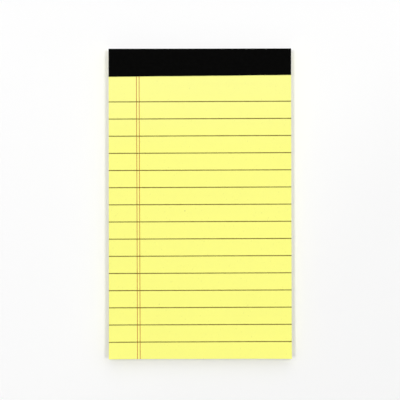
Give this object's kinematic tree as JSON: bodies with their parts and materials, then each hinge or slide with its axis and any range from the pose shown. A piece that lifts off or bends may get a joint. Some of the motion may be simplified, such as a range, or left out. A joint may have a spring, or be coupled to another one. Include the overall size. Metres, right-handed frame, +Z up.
{
  "type": "memo pad",
  "caption": "Small ruled tear-off memo pad: yellow leaves on a chipboard back, stapled and bound across the top edge with a folded black tape.",
  "frame": {"origin": "under the middle of the pad, in the plane of the tape's back flap, which is its lowest face", "axes": "+X across the page to the right, +Y along the page towards the bound edge, +Z up out of the page"},
  "size_m": [0.076, 0.1292, 0.0056],
  "materials": {
    "yellow_paper": "matte",
    "chipboard": "matte",
    "black_tape": "matte",
    "staple_wire": "satin",
    "rule_ink": "matte",
    "margin_ink": "matte"
  },
  "bodies": {
    "root": {"page_block": "yellow_paper", "backing_board": "chipboard", "binding_tape": "black_tape", "staples": "staple_wire", "printed_rules": "rule_ink", "printed_margin_lines": "margin_ink"}
  },
  "joints": []
}
